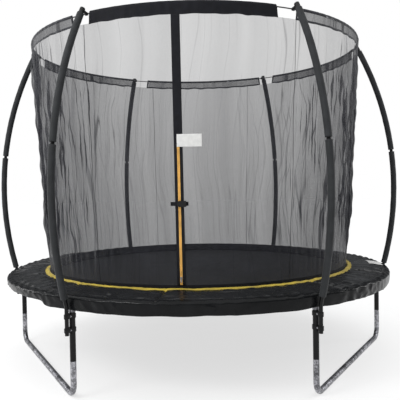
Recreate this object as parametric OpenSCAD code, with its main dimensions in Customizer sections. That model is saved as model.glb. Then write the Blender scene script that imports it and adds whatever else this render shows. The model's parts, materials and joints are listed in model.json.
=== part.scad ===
// Round garden trampoline with a net inside six bowed poles, on three U-shaped legs.
// Millimetres, +Z up. The origin is on the floor under the centre of the bed.
// The door is at the front, towards -Y, and angles are counted from +X towards +Y.

/* [Frame and legs] */
// Radius of the frame ring, and of the circle on which the legs stand
frame_r = 1500; // [1495:1:1502]
// Height of the frame ring's tube centre
frame_z = 606; // [600:1:608]
// Diameter of the frame and leg tubes
tube_d = 38; // [36:0.5:38]
// Wall thickness of all steel tubes
wall = 1.5; // [1:0.1:1.8]
// Height of the joint between a leg's black upright and its bent base
leg_joint_z = 240; // [180:5:300]
// Bend radius of a leg base, at the tube's centre
leg_bend_r = 85; // [70:5:110]
// Length of an upright's narrow spigot inside the leg base
leg_spigot_l = 60; // [40:5:70]
// Half of the angle that a tee's sleeve covers on the ring
tee_half_a = 2.6; // [2:0.1:3]
// Height of the lower end of a tee's leg socket
tee_foot_z = 548; // [546:1:552]

/* [Poles] */
// Diameter of the pole tubes
pole_d = 25.4; // [24:0.1:25.4]
// Radius of a pole's long bow
bow_r = 2400; // [2380:5:2410]
// Distance of the bow's centre behind the trampoline's axis
bow_back = 750; // [748:1:750]
// Height of the bow's centre, where the pole stands out furthest
bow_z = 1280; // [1270:1:1290]
// Angle on the bow at which the pole's two tubes join
bow_join_a = 7.2; // [5:0.1:9]
// Angle on the bow at the pole's upper end
bow_top_a = 28.9; // [28.8:0.05:29]
// Radius of the small bend under the bow
pole_bend_r = 100; // [90:5:100]
// Height of a pole's lower end
pole_foot_z = 409; // [400:1:420]
// Outer diameter of the foam sleeve round a pole
foam_d = 46; // [40:1:46]
// Height of the two clamps that hold a pole to its leg
clamp_z = [440, 525];

/* [Bed] */
// Height of the jumping surface
bed_z = 620; // [619:0.5:621]
// Radius of the mat inside its border
mat_r = 1200; // [1190:1:1202]
// Thickness of the mat
mat_t = 3; // [2:0.5:4]
// Outer radius of the mat's webbing border
border_r = 1285; // [1280:1:1288]
// Number of springs between two legs
springs_per_side = 9; // [6:1:12]
// Outer diameter of a spring's coil
spring_d = 20; // [16:1:20]
// Wire diameter of the springs
spring_wire = 3; // [2.5:0.1:3.2]
// Wire diameter of the rings in the mat's edge
vring_wire = 3.5; // [3:0.1:4]

/* [Safety pad] */
// Inner radius of the pad
pad_in_r = 1219; // [1218:1:1222]
// Outer radius of the pad
pad_out_r = 1522; // [1510:1:1522]
// Height of the pad's upper face at its inner edge
pad_in_z = 664; // [660:1:668]
// Height of the pad's upper face at its outer edge
pad_out_z = 650; // [650:1:654]
// Thickness of the pad
pad_t = 20; // [16:1:20]
// Width of the yellow binding on the pad's inner edge
trim_w = 42; // [30:1:50]
// Radius of the skirt's outer face
skirt_r = 1530; // [1528:0.5:1531]
// Height of the skirt's lower edge
skirt_low_z = 560; // [555:1:580]

/* [Safety net] */
// Radius of the top ring's rods
ring_r = 1315; // [1312:1:1316]
// Height of the top ring's rods
ring_z = 2420; // [2415:1:2422]
// Diameter of the fibreglass rods
rod_d = 8; // [7:0.5:8]
// Radius of the net where it meets the mat
net_low_r = 1209; // [1208:0.5:1210]
// Height of the lower edge of the sleeve round the top ring
sleeve_low_z = 2353; // [2340:1:2360]
// Height of the upper edge of that sleeve
sleeve_top_z = 2436; // [2434:1:2440]
// Height of the hem at the foot of the net
hem_h = 62; // [50:1:80]
// Thickness that the net is modelled with
net_t = 3; // [2:0.5:3]

/* [Door] */
// Direction of the door's zip
door_a = 266.5; // [262:0.5:272]
// Width of the tape on which the zip is sewn
tape_w = 55; // [40:1:60]
// Height of the upper end of the zip
zip_top_z = 1630; // [1500:5:1640]
// Height of the zip slider
slider_z = 735; // [725:1:760]
// Height of the buckle across the zip
buckle_z = 1204; // [1190:1:1220]
// Width and height of the blank label beside the zip
label_size = [155, 78];

/* [Hidden] */
// Steps round a small circle, and round a long bend or a large circle
round_fn = 48;
fine = 240;
$fn = round_fn;

sides = 6;
side_a = 360 / sides;
gap = 0.2;

// Colours
c_zinc = "#7d7d80";
c_black = "#1b1c1f";
c_foam = "#3a3c3e";
c_vinyl = "#1d1e22";
c_cloth = "#1c1d26";
c_yellow = "#c2ae2a";
c_white = "#d9d9d6";

// Frame and legs
tube_in_d = tube_d - 2 * wall;
frame_end_a = 0.4;
tee_wall = 2.6;
tee_bore_d = tube_d + 2 * gap;
tee_d = tee_bore_d + 2 * tee_wall;
tee_socket_d = tee_bore_d + 3.6;
tee_socket_top_z = frame_z - tee_d / 2 + tee_wall / 2;
upright_top_z = frame_z - tee_d / 2 - 2;
leg_half_w = frame_r * sin(side_a / 2);
leg_plane_r = frame_r * cos(side_a / 2);
screw_d = 5;
screw_z = (tee_foot_z + upright_top_z) / 2;
screw_head_w = 8;
screw_head_h = 4;
screw_l = 9;

// Poles
pole_in_d = pole_d - 2 * wall;
// The pole leans by the small angle of a 7-24-25 triangle where its bow starts
lean_sin = 0.28;
lean_cos = 0.96;
bow_low_a = asin(lean_sin);
pole_neck_l = 10;
neck_x = -bow_back + bow_r * lean_cos - pole_neck_l * lean_sin;
neck_z = bow_z - bow_r * lean_sin - pole_neck_l * lean_cos;
bend_x = neck_x + pole_bend_r * lean_cos;
bend_z = neck_z - pole_bend_r * lean_sin;
pole_foot_r = bend_x - pole_bend_r;
pole_spigot_a = 1.8;
foam_low_a = -15.5;
foam_gap_a = 0.2;
foam_top_a = bow_top_a - 0.8;
foam_in_d = pole_d + 0.6;
cap_d = 34;
cap_skirt_l = 30;
cap_dome_r = 26;
cap_top = 13;
eye_w = 14;
eye_d = 22;
lug_h = 12;
pole_top = [-bow_back + bow_r * cos(bow_top_a), bow_z + bow_r * sin(bow_top_a)];
// Where the top ring's rod lies in the frame of a pole's tilted end
eye_x = (ring_r - pole_top[0]) * cos(bow_top_a) + (ring_z - pole_top[1]) * sin(bow_top_a);
eye_z = (ring_z - pole_top[1]) * cos(bow_top_a) - (ring_r - pole_top[0]) * sin(bow_top_a);
clamp_h = 26;
clamp_wall = 4.5;
clamp_web_w = 18;
bolt_d = 6;
bolt_head_w = 10;
bolt_head_h = 4;
bolt_x = (frame_r + tube_d / 2 + pole_foot_r - pole_d / 2) / 2;

// Top ring
ferrule_a = 15;
ferrule_half_a = 2;
ferrule_wall = 1.2;
rod_gap_a = 0.2;
window_a = [-5, 0.7];
sleeve_t = 20;
sleeve_wall = 3;

// Bed and springs
spring_z = bed_z - mat_t;
spring_a = side_a / springs_per_side;
border_t = 6;
vring_out_r = 1312;
vring_in_r = 1278;
vring_out_w = 12;
vring_in_w = 40;
hook_r = 5.5;
hook_turn = 250;
coil_in_r = 1322;
coil_out_r = 1463;
peg_r = frame_r - 13;
peg_arc_r = 9;
peg_l = 9;
peg_hole_d = 5.4;
coil_wall = 3;

// Pad
skirt_t = 4;
trim_t = 2.2;
trim_gap = 0.5;
strap_t = 1.8;
strap_w = 20;
strap_a = 15;
pad_label_a = [-9.5, -1.5];
pad_label_r = [1395, 1500];
pad_label_t = 1.2;

// Net and door
net_top_r = ring_r;
net_lean = atan((net_top_r - net_low_r) / (sleeve_low_z - bed_z));
net_low_z = bed_z + 8;
hem_top_z = net_low_z + hem_h;
hem_t = 3.6;
tape_t = 2;
tape_off = net_t / 2 + 0.8;
chain_off = tape_off + tape_t;
chain_w = 5;
chain_t = 3;
edging_w = 16;
edging_t = 1;
zip_low_z = 692;
slider_w = 13;
slider_h = 18;
slider_t = 2;
slider_side = 1.5;
slider_clear = 0.5;
slider_off = chain_off + edging_t + slider_clear;
slider_face = chain_off + chain_t + slider_clear + slider_t;
bail_d = 2.4;
bail_gap = 4.2;
bail_z = 6;
pull_w = 9;
pull_l = 32;
pull_t = 1.6;
pull_eye_d = 6;
buckle_strap_t = 2;
buckle_strap_w = 25;
buckle_strap_l = 112;
buckle_off = chain_off + chain_t + 1;
socket_size = [11, 42, 38];
socket_wall = 2;
prong_base = [9, 14, 34];
tongue_l = 24;
tongue_t = 4;
tongue_w = 6;
label_t = 1.2;
label_off = chain_off + chain_t + 0.6;

// Radius of the net's middle surface at height z
function net_r(z) = net_low_r + (z - bed_z) * tan(net_lean);

// Height of the pad's upper face at radius r
function pad_z(r) = pad_in_z + (pad_out_z - pad_in_z) * (r - pad_in_r) / (pad_out_r - pad_in_r);

// Copies of a child at the six poles, or at other even steps
module around(count = sides, first = 0) {
    for (i = [0 : count - 1]) rotate([0, 0, first + i * 360 / count]) children();
}

// A straight round tube from z = 0 up
module pipe(d, d_in, h) {
    linear_extrude(h) difference() {
        circle(d = d);
        circle(d = d_in);
    }
}

// A bent round tube about the z axis, from angle a0 to a1
module bent_pipe(r, d, d_in, a0, a1) {
    rotate([0, 0, a0]) rotate_extrude(angle = a1 - a0, $fn = fine) translate([r, 0]) difference() {
        circle(d = d, $fn = round_fn);
        circle(d = d_in, $fn = round_fn);
    }
}

// A bent round wire about the z axis
module bent_wire(r, d, a0, a1) {
    rotate([0, 0, a0]) rotate_extrude(angle = a1 - a0, $fn = fine) translate([r, 0])
        circle(d = d, $fn = round_fn);
}

// A child drawn in x and y, stood up in the plane through the z axis
module upright_plane() {
    rotate([90, 0, 0]) children();
}

// A part of a pole's bow, with its bore
module bow(d, d_in, a0, a1) {
    translate([-bow_back, 0, bow_z]) upright_plane() bent_pipe(bow_r, d, d_in, a0, a1);
}

// A hexagonal head or nut from z = 0 up
module hex_head(w, h) {
    cylinder(d = w / cos(30), h = h, $fn = 6);
}

// A band of a turned shell that follows the net's slope, from height z0 to z1
module net_band(z0, z1, off0, off1, a0, a1) {
    rotate([0, 0, a0]) rotate_extrude(angle = a1 - a0, $fn = fine) polygon([
        [net_r(z0) + off0, z0],
        [net_r(z0) + off1, z0],
        [net_r(z1) + off1, z1],
        [net_r(z1) + off0, z1]
    ]);
}

// The frame of the door at height z: x points out of the net, z points up along it
module at_door(z) {
    rotate([0, 0, door_a]) translate([net_r(z), 0, z]) rotate([0, net_lean, 0]) children();
}

// Frame and legs

module frame_tube(i) {
    a = (i - 1) * side_a;
    color(c_zinc) difference() {
        translate([0, 0, frame_z])
            bent_pipe(frame_r, tube_d, tube_in_d, a + frame_end_a, a + side_a - frame_end_a);
        for (k = [0 : springs_per_side - 1]) rotate([0, 0, a + (k + 0.5) * spring_a])
            translate([peg_r, 0, frame_z]) cylinder(d = peg_hole_d, h = tube_d);
    }
}

module tee_joints() {
    color(c_zinc) around() difference() {
        union() {
            translate([0, 0, frame_z]) bent_wire(frame_r, tee_d, -tee_half_a, tee_half_a);
            translate([frame_r, 0, tee_foot_z])
                cylinder(d = tee_socket_d, h = tee_socket_top_z - tee_foot_z);
        }
        translate([0, 0, frame_z]) bent_wire(frame_r, tee_bore_d, -tee_half_a - 1, tee_half_a + 1);
        translate([frame_r, 0, tee_foot_z - 1])
            cylinder(d = tee_bore_d, h = upright_top_z - tee_foot_z + 1.5);
        screw_place() cylinder(d = screw_d + 2 * gap, h = screw_l + 4);
    }
}

// The place of a tee's screw: z points in through the socket's wall, away from the centre
module screw_place() {
    translate([frame_r - tee_socket_d / 2 - gap, 0, screw_z]) rotate([0, 90, 0]) children();
}

module tee_screws() {
    color(c_zinc) around() screw_place() {
        translate([0, 0, -screw_head_h]) hex_head(screw_head_w, screw_head_h);
        cylinder(d = screw_d, h = screw_l);
    }
}

module leg_upright(i) {
    spigot_d = tube_in_d - 2 * gap;
    color(c_black) rotate([0, 0, (i - 1) * side_a]) difference() {
        union() {
            translate([frame_r, 0, leg_joint_z]) cylinder(d = tube_d, h = upright_top_z - leg_joint_z);
            translate([frame_r, 0, leg_joint_z - leg_spigot_l]) cylinder(d = spigot_d, h = leg_spigot_l);
        }
        translate([frame_r, 0, leg_joint_z - leg_spigot_l - 1])
            cylinder(d = spigot_d - 2 * wall, h = upright_top_z);
        screw_place() cylinder(d = screw_d + 2 * gap, h = screw_l + 4);
    }
}

// Half of a U-shaped base, from the middle of its floor tube to its upper end at +Y
module leg_base_half() {
    foot_z = tube_d / 2;
    straight = leg_half_w - leg_bend_r;
    translate([0, 0, foot_z]) rotate([-90, 0, 0]) pipe(tube_d, tube_in_d, straight);
    translate([0, straight, foot_z + leg_bend_r]) rotate([0, 0, 90]) upright_plane()
        bent_pipe(leg_bend_r, tube_d, tube_in_d, -90, 0);
    translate([0, leg_half_w, foot_z + leg_bend_r])
        pipe(tube_d, tube_in_d, leg_joint_z - foot_z - leg_bend_r);
}

module leg_base(middle_a) {
    color(c_zinc) rotate([0, 0, middle_a]) translate([leg_plane_r, 0, 0]) {
        leg_base_half();
        mirror([0, 1, 0]) leg_base_half();
    }
}

// Poles

// The small bend between the pole's upright foot and its leaning neck
module pole_bend() {
    far = 2 * pole_bend_r;
    translate([bend_x, 0, bend_z]) rotate([0, 0, 180]) upright_plane() intersection() {
        rotate_extrude() translate([pole_bend_r, 0]) difference() {
            circle(d = pole_d);
            circle(d = pole_in_d);
        }
        translate([0, 0, -pole_d]) linear_extrude(2 * pole_d)
            polygon([[0, 0], [far, 0], [far * lean_cos, far * lean_sin]]);
    }
}

module pole_lower(i) {
    color(c_black) rotate([0, 0, (i - 1) * side_a]) {
        translate([pole_foot_r, 0, pole_foot_z]) pipe(pole_d, pole_in_d, bend_z - pole_foot_z);
        pole_bend();
        translate([neck_x, 0, neck_z]) rotate([0, bow_low_a, 0]) pipe(pole_d, pole_in_d, pole_neck_l);
        bow(pole_d, pole_in_d, -bow_low_a, bow_join_a);
    }
}

module pole_upper(i) {
    spigot_d = pole_in_d - 2 * gap;
    bore_d = spigot_d - 2 * wall;
    color(c_black) rotate([0, 0, (i - 1) * side_a]) {
        bow(spigot_d, bore_d - gap, bow_join_a - pole_spigot_a, bow_join_a + foam_gap_a);
        bow(pole_d, bore_d, bow_join_a, bow_top_a);
    }
}

module foam_sleeve(i) {
    color(c_foam) rotate([0, 0, (i - 1) * side_a]) {
        bow(foam_d, foam_in_d, foam_low_a, bow_join_a - foam_gap_a);
        bow(foam_d, foam_in_d, bow_join_a + foam_gap_a, foam_top_a);
    }
}

module pole_cap() {
    translate([pole_top[0], 0, pole_top[1]]) rotate([0, -bow_top_a, 0]) difference() {
        union() {
            rotate_extrude() intersection() {
                translate([0, cap_top - cap_dome_r]) circle(r = cap_dome_r, $fn = 96);
                translate([0, -cap_skirt_l]) square([cap_d / 2, cap_skirt_l + cap_top]);
            }
            translate([eye_x, -eye_w / 2, eye_z - lug_h / 2]) cube([-eye_x - pole_d / 2 - 1, eye_w, lug_h]);
            translate([eye_x, eye_w / 2, eye_z]) rotate([90, 0, 0]) cylinder(d = eye_d, h = eye_w);
        }
        translate([0, 0, -cap_skirt_l - 1]) cylinder(d = pole_d + 2 * gap, h = cap_skirt_l + 1 + gap);
        translate([eye_x, eye_w, eye_z]) rotate([90, 0, 0]) cylinder(d = rod_d + 1, h = 2 * eye_w);
    }
}

module pole_caps() {
    color(c_black) around() pole_cap();
}

module pole_clamps() {
    web_x0 = frame_r + tube_d / 2 + 1;
    web_x1 = pole_foot_r - pole_d / 2 - 1;
    color(c_black) around() for (z = clamp_z) translate([0, 0, z - clamp_h / 2]) difference() {
        union() {
            translate([frame_r, 0, 0]) cylinder(d = tube_d + 2 * clamp_wall, h = clamp_h);
            translate([pole_foot_r, 0, 0]) cylinder(d = pole_d + 2 * clamp_wall, h = clamp_h);
            translate([web_x0, -clamp_web_w / 2, 0]) cube([web_x1 - web_x0, clamp_web_w, clamp_h]);
        }
        translate([frame_r, 0, -1]) cylinder(d = tube_d + 2 * gap, h = clamp_h + 2);
        translate([pole_foot_r, 0, -1]) cylinder(d = pole_d + 2 * gap, h = clamp_h + 2);
        translate([bolt_x, clamp_web_w, clamp_h / 2]) rotate([90, 0, 0])
            cylinder(d = bolt_d + 2 * gap, h = 2 * clamp_web_w);
    }
}

module clamp_bolts() {
    length = clamp_web_w + 10;
    color(c_zinc) around() for (z = clamp_z)
        translate([bolt_x, -clamp_web_w / 2, z]) rotate([-90, 0, 0]) {
            translate([0, 0, -bolt_head_h]) hex_head(bolt_head_w, bolt_head_h);
            cylinder(d = bolt_d, h = length);
            translate([0, 0, clamp_web_w]) hex_head(bolt_head_w, bolt_head_h + 1);
        }
}

// Top ring

module ring_rods() {
    color(c_black) translate([0, 0, ring_z]) around(first = ferrule_a)
        bent_wire(ring_r, rod_d, rod_gap_a / 2, side_a - rod_gap_a / 2);
}

module rod_ferrules() {
    color(c_zinc) translate([0, 0, ring_z]) around(first = ferrule_a)
        bent_pipe(ring_r, rod_d + 2 * gap + 2 * ferrule_wall, rod_d + 2 * gap, -ferrule_half_a, ferrule_half_a);
}

// Bed

module jumping_mat() {
    color(c_vinyl) translate([0, 0, bed_z - mat_t]) cylinder(r = mat_r, h = mat_t, $fn = fine);
}

module mat_border() {
    color(c_black) translate([0, 0, spring_z - border_t / 2]) linear_extrude(border_t) difference() {
        circle(r = border_r, $fn = fine);
        circle(r = mat_r + gap, $fn = fine);
    }
}

// Outline of a v-ring's wire: dir is -1 for its inner and 1 for its outer edge
module v_outline(dir) {
    edge = dir * vring_wire / 2;
    polygon([
        [vring_in_r - edge, -vring_in_w / 2 - 1.5 * edge],
        [vring_out_r + edge, -vring_out_w / 2 - edge],
        [vring_out_r + edge, vring_out_w / 2 + edge],
        [vring_in_r - edge, vring_in_w / 2 + 1.5 * edge]
    ]);
}

module v_rings() {
    color(c_zinc) translate([0, 0, spring_z - vring_wire / 2]) linear_extrude(vring_wire)
        around(sides * springs_per_side, spring_a / 2) difference() {
            v_outline(1);
            v_outline(-1);
        }
}

// A spring lies along x: its coil is one hollow barrel with a wire out of each end
module spring() {
    neck = vring_out_r + hook_r;
    knee = peg_r - 2 * peg_arc_r;
    wire = spring_wire / 2;
    outside = spring_d / 2;
    inside = outside - coil_wall;
    difference() {
        rotate([0, 90, 0]) rotate_extrude() polygon([
            [0, neck],
            [wire, neck],
            [wire, coil_in_r],
            [outside, coil_in_r],
            [outside, coil_out_r],
            [wire, coil_out_r],
            [wire, knee],
            [0, knee],
            [0, coil_out_r - coil_wall],
            [inside, coil_out_r - coil_wall],
            [inside, coil_in_r + coil_wall],
            [0, coil_in_r + coil_wall]
        ]);
        translate([(coil_in_r + coil_out_r) / 2, 0, -spring_d]) cylinder(d = 2 * coil_wall, h = spring_d);
    }
    translate([vring_out_r, 0, 0]) upright_plane() bent_wire(hook_r, spring_wire, 0, hook_turn);
    translate([knee + peg_arc_r, 0, 0]) upright_plane() bent_wire(peg_arc_r, spring_wire, 0, 180);
    translate([peg_r, 0, -peg_l]) cylinder(d = spring_wire, h = peg_l);
}

module springs() {
    round_fn = 24;
    color(c_zinc) translate([0, 0, spring_z]) around(sides * springs_per_side, spring_a / 2) spring();
}

// Pad

module safety_pad() {
    color(c_vinyl) rotate_extrude($fn = fine) polygon([
        [pad_in_r, pad_in_z - pad_t],
        [pad_out_r, pad_out_z - pad_t],
        [pad_out_r, pad_out_z],
        [pad_in_r, pad_in_z]
    ]);
}

module pad_trim() {
    low = pad_in_z - pad_t - trim_t;
    in_r = pad_in_r - trim_gap;
    edge_r = in_r - trim_t;
    out_r = pad_in_r + trim_w;
    color(c_yellow) rotate_extrude($fn = fine) polygon([
        [edge_r, low],
        [edge_r, pad_in_z + trim_t],
        [pad_in_r, pad_in_z + trim_t],
        [out_r, pad_z(out_r) + trim_t],
        [out_r, pad_z(out_r) + trim_gap],
        [in_r, pad_z(in_r) + trim_gap],
        [in_r, low]
    ]);
}

module pad_skirt() {
    color(c_vinyl) translate([0, 0, skirt_low_z]) linear_extrude(pad_out_z - skirt_low_z) difference() {
        circle(r = skirt_r, $fn = fine);
        circle(r = skirt_r - skirt_t, $fn = fine);
    }
}

module pad_straps() {
    loop_in_d = tube_d + 2 * gap;
    loop_d = loop_in_d + 2 * strap_t;
    tab_z = frame_z + loop_in_d / 2 + strap_t / 2;
    color(c_black) around(2 * sides, strap_a) translate([frame_r, 0, 0]) {
        translate([0, strap_w / 2, frame_z]) rotate([90, 0, 0]) pipe(loop_d, loop_in_d, strap_w);
        translate([-strap_w / 2, -strap_w / 2, tab_z])
            cube([strap_w, strap_w, pad_z(frame_r + strap_w / 2) - pad_t - tab_z]);
    }
}

module pad_label() {
    color(c_white) rotate([0, 0, pad_label_a[0]]) rotate_extrude(angle = pad_label_a[1] - pad_label_a[0], $fn = fine)
        polygon([
            [pad_label_r[0], pad_z(pad_label_r[0])],
            [pad_label_r[1], pad_z(pad_label_r[1])],
            [pad_label_r[1], pad_z(pad_label_r[1]) + pad_label_t],
            [pad_label_r[0], pad_z(pad_label_r[0]) + pad_label_t]
        ]);
}

// Net

module enclosure_net() {
    color(c_cloth, 0.5) net_band(hem_top_z, sleeve_low_z, -net_t / 2, net_t / 2, 0, 360);
}

module net_hem() {
    color(c_cloth) net_band(net_low_z, hem_top_z, -hem_t / 2, hem_t / 2, 0, 360);
}

module net_sleeve() {
    color(c_cloth) around() rotate([0, 0, window_a[1]])
        rotate_extrude(angle = side_a - window_a[1] + window_a[0], $fn = fine)
            translate([ring_r - sleeve_t / 2, sleeve_low_z]) difference() {
                square([sleeve_t, sleeve_top_z - sleeve_low_z]);
                translate([sleeve_wall, sleeve_wall])
                    square([sleeve_t - 2 * sleeve_wall, sleeve_top_z - sleeve_low_z - 2 * sleeve_wall]);
            }
}

module net_label() {
    low_z = zip_top_z + 3 - label_size[1];
    high_z = zip_top_z + 3;
    start_a = door_a - edging_w / 2 / net_r(low_z) * 180 / PI;
    turn = label_size[0] / net_r(low_z) * 180 / PI;
    color(c_white) net_band(low_z, high_z, label_off, label_off + label_t, start_a, start_a + turn);
}

// Door

module door_tape() {
    half_a = tape_w / 2 / net_r(zip_top_z) * 180 / PI;
    color(c_cloth) net_band(hem_top_z, sleeve_low_z, tape_off, tape_off + tape_t, door_a - half_a, door_a + half_a);
}

module zip_chain() {
    long = (zip_top_z - zip_low_z) / cos(net_lean);
    color(c_yellow) at_door(zip_low_z) {
        translate([chain_off + gap, -edging_w / 2, 0]) cube([edging_t, edging_w, long]);
        translate([chain_off + gap, -chain_w / 2, 0]) cube([chain_t - gap, chain_w, long]);
    }
}

module zip_slider() {
    inner_w = chain_w + 2 * slider_clear;
    color(c_zinc) at_door(slider_z) {
        difference() {
            translate([slider_off, -slider_w / 2, -slider_h / 2])
                cube([slider_face - slider_off, slider_w, slider_h]);
            translate([slider_off - 1, -inner_w / 2, -slider_h])
                cube([slider_face - slider_t - slider_off + 1, inner_w, 2 * slider_h]);
        }
        for (side = [-1, 1]) translate([slider_face - slider_t / 2, side * (pull_w / 2 - 1.2) - 0.8, bail_z - 2])
            cube([bail_gap + slider_t / 2 - bail_d / 2, 1.6, 4]);
        bail_place() cylinder(d = bail_d, h = pull_w - 0.8, center = true);
    }
}

// The pin on which the pull tab hangs, in the slider's frame
module bail_place() {
    translate([slider_face + bail_gap - bail_d / 2, 0, bail_z]) rotate([90, 0, 0]) children();
}

module zip_pull() {
    bail_x = slider_face + bail_gap - bail_d / 2;
    eye_w2 = 3.6;
    color(c_zinc) at_door(slider_z) translate([bail_x, 0, bail_z]) rotate([0, -net_lean, 0]) difference() {
        union() {
            rotate([90, 0, 0]) cylinder(d = pull_eye_d, h = eye_w2, center = true);
            translate([-pull_t / 2, -eye_w2 / 2, -pull_l / 2]) cube([pull_t, eye_w2, pull_l / 2]);
            translate([-pull_t / 2, -pull_w / 2, -pull_l]) cube([pull_t, pull_w, pull_l * 0.7]);
        }
        rotate([90, 0, 0]) cylinder(d = bail_d + 2 * gap, h = 2 * pull_w, center = true);
        translate([0, 0, -pull_l * 0.7]) rotate([0, 90, 0]) cylinder(d = 4, h = 2 * pull_w, center = true);
    }
}

module buckle_straps() {
    color(c_cloth) at_door(buckle_z)
        translate([buckle_off, -buckle_strap_l / 2, -buckle_strap_w / 2])
            cube([buckle_strap_t, buckle_strap_l, buckle_strap_w]);
}

// The buckle's own frame: x out of the net, y from the prong's side to the socket's side
module at_buckle() {
    at_door(buckle_z) translate([buckle_off + buckle_strap_t, 0, 0]) children();
}

module buckle_socket() {
    inside = [socket_size[0] - 2 * socket_wall, tongue_l + 4, socket_size[2] - 2 * socket_wall];
    color(c_black) at_buckle() difference() {
        translate([0, 0, -socket_size[2] / 2]) cube(socket_size);
        translate([socket_wall, -2, -inside[2] / 2]) cube(inside);
    }
}

module buckle_prong() {
    middle = socket_size[0] / 2;
    color(c_black) at_buckle() {
        translate([middle - prong_base[0] / 2, -prong_base[1] - 0.5, -prong_base[2] / 2]) cube(prong_base);
        for (z = [-11, 0, 11]) translate([middle - tongue_t / 2, -1, z - tongue_w / 2])
            cube([tongue_t, tongue_l + 1, tongue_w]);
    }
}

frame_tube(1);  // frame_tube_1
frame_tube(2);  // frame_tube_2
frame_tube(3);  // frame_tube_3
frame_tube(4);  // frame_tube_4
frame_tube(5);  // frame_tube_5
frame_tube(6);  // frame_tube_6
tee_joints();
tee_screws();
leg_upright(1);  // leg_upright_1
leg_upright(2);  // leg_upright_2
leg_upright(3);  // leg_upright_3
leg_upright(4);  // leg_upright_4
leg_upright(5);  // leg_upright_5
leg_upright(6);  // leg_upright_6
leg_base(210);  // leg_base_1
leg_base(330);  // leg_base_2
leg_base(90);  // leg_base_3
pole_lower(1);  // pole_lower_1
pole_lower(2);  // pole_lower_2
pole_lower(3);  // pole_lower_3
pole_lower(4);  // pole_lower_4
pole_lower(5);  // pole_lower_5
pole_lower(6);  // pole_lower_6
pole_upper(1);  // pole_upper_1
pole_upper(2);  // pole_upper_2
pole_upper(3);  // pole_upper_3
pole_upper(4);  // pole_upper_4
pole_upper(5);  // pole_upper_5
pole_upper(6);  // pole_upper_6
foam_sleeve(1);  // foam_sleeve_1
foam_sleeve(2);  // foam_sleeve_2
foam_sleeve(3);  // foam_sleeve_3
foam_sleeve(4);  // foam_sleeve_4
foam_sleeve(5);  // foam_sleeve_5
foam_sleeve(6);  // foam_sleeve_6
pole_caps();
pole_clamps();
clamp_bolts();
ring_rods();
rod_ferrules();
jumping_mat();
mat_border();
v_rings();
springs();
safety_pad();
pad_trim();
pad_skirt();
pad_straps();
pad_label();
enclosure_net();
net_sleeve();
net_hem();
net_label();
door_tape();
zip_chain();
zip_slider();
zip_pull();
buckle_socket();
buckle_prong();
buckle_straps();
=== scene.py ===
import json
import math

import bpy
import numpy as np
from mathutils import Matrix, Vector


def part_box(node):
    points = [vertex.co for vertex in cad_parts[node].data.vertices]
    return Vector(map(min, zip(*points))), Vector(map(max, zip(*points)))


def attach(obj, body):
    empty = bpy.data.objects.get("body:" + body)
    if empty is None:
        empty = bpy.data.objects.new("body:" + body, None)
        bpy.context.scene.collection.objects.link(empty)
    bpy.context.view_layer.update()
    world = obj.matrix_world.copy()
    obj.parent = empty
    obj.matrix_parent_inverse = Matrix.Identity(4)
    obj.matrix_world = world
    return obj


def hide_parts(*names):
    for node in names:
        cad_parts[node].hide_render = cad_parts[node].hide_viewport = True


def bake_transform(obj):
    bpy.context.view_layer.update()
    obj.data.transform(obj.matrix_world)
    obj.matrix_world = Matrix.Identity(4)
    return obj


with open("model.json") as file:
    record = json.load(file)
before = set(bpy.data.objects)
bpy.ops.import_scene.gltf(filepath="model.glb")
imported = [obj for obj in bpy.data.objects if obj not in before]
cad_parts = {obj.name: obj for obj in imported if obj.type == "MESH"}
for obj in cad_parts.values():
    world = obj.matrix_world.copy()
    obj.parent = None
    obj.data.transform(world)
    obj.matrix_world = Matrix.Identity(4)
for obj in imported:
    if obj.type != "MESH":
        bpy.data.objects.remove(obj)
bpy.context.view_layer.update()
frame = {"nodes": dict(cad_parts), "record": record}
TAU = 2 * math.pi


def middle_z(node):
    """The height of the middle of a CAD node."""
    low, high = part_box(node)
    return (low[2] + high[2]) / 2


# Driving sizes, in metres and radians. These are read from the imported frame
BED_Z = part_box("jumping_mat")[1][2]
BORDER_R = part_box("mat_border")[1][0]
SPRING_Z = middle_z("v_rings")
FRAME_Z = middle_z("frame_tube_1")
NET_LOW_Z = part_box("net_hem")[0][2]
HEM_TOP_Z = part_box("net_hem")[1][2]
SLEEVE_LOW_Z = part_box("net_sleeve")[0][2]
SLEEVE_TOP_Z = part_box("net_sleeve")[1][2]
SKIRT_LOW_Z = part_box("pad_skirt")[0][2]
SKIRT_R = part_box("pad_skirt")[1][0]
TAPE_LOW_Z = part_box("door_tape")[0][2]
ZIP_LOW_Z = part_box("zip_chain")[0][2]

# These repeat driving sizes of the part's source
SIDES = 6
SPRINGS = 54
FRAME_R = 1.5
RING_R = 1.315
NET_LOW_R = 1.209
NET_LEAN = (RING_R - NET_LOW_R) / (SLEEVE_LOW_Z - BED_Z)
PAD_IN_R, PAD_OUT_R = 1.219, 1.522
PAD_IN_Z, PAD_OUT_Z = 0.664, 0.650
PAD_T = 0.020
DOOR_A = math.radians(266.5)
# A pole is an arc of this radius, about a point behind the middle of the bed and above the floor
BOW_R, BOW_BACK, BOW_Z = 2.400, 0.750, 1.280
# A window in the sleeve runs from and to these angles from its pole
WINDOW = (math.radians(-5), math.radians(0.7))
# The cloth mat and its border overlap a little
MAT_R, BORDER_IN_R = 1.2005, 1.196
SPRING_ANGLES = [(k + 0.5) * TAU / SPRINGS for k in range(SPRINGS)]


# ---- mesh helpers

def new_object(name, data):
    """A new object in the scene."""
    obj = bpy.data.objects.new(name, data)
    bpy.context.collection.objects.link(obj)
    return obj


def flipped(faces, uvs):
    """The same quads and uvs, facing the other way."""
    return faces[:, ::-1], uvs.reshape(-1, 4, 2)[:, ::-1].reshape(-1, 2)


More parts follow.
